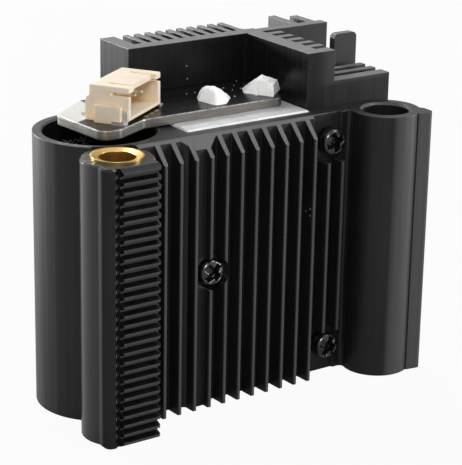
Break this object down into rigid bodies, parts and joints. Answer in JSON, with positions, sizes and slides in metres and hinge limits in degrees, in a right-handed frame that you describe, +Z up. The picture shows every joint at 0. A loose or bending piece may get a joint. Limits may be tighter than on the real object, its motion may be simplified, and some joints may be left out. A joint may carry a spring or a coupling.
{
  "type": "laser diode module",
  "caption": "Black finned laser module with guide bores, a toothed rack bar for focus travel, brass bushes, a tall heat sink, and a driver board with a power socket.",
  "frame": {"origin": "on the axis of the brass guide bushes, at the module's bottom face", "axes": "+Z up along the guide rods, +X along the finned plate from the bushes to the second guide tube, +Y from the fins to the heat sink"},
  "size_m": [0.066, 0.0402, 0.0574],
  "materials": {
    "carriage_anodised": "black anodised extrusion, satin, with faint lines along its length",
    "sink_anodised": "black anodised, satin, with paler sawn ends",
    "rack_plastic": "black moulded, slightly glossy",
    "bush_brass": "turned brass",
    "screw_steel": "black plated",
    "block_metal": "bare machined",
    "pad_rubber": "soft grey silicone",
    "board_mask": "gloss black solder mask on a metal core, with a grey milled edge",
    "connector_nylon": "natural cream nylon",
    "contact_metal": "tin plated",
    "diode_can": "gold plated",
    "optic_glass": "polished optical glass",
    "sealant": "matt white silicone sealant"
  },
  "bodies": {
    "root": {"carriage": "carriage_anodised", "heat_sink": "sink_anodised", "rack_bar": "rack_plastic", "upper_bush": "bush_brass", "lower_bush": "bush_brass", "plate_screws": "screw_steel", "laser_block": "block_metal", "optics_cover": "block_metal", "cover_screws": "screw_steel", "thermal_pad": "pad_rubber", "diode_leads": "contact_metal", "clamp_rings": "bush_brass", "fold_prism": "optic_glass", "combining_cube": "optic_glass", "exit_window": "optic_glass", "window_ring": "sink_anodised", "circuit_board": "board_mask", "connector_housing": "connector_nylon", "connector_pins": "contact_metal", "connector_tabs": "contact_metal", "laser_diode_left": "diode_can", "laser_diode_right": "diode_can", "lens_barrel_left": "bush_brass", "lens_barrel_right": "bush_brass", "collimating_lens_left": "optic_glass", "collimating_lens_right": "optic_glass", "sealant_bead_left": "sealant", "sealant_bead_right": "sealant"}
  },
  "joints": []
}
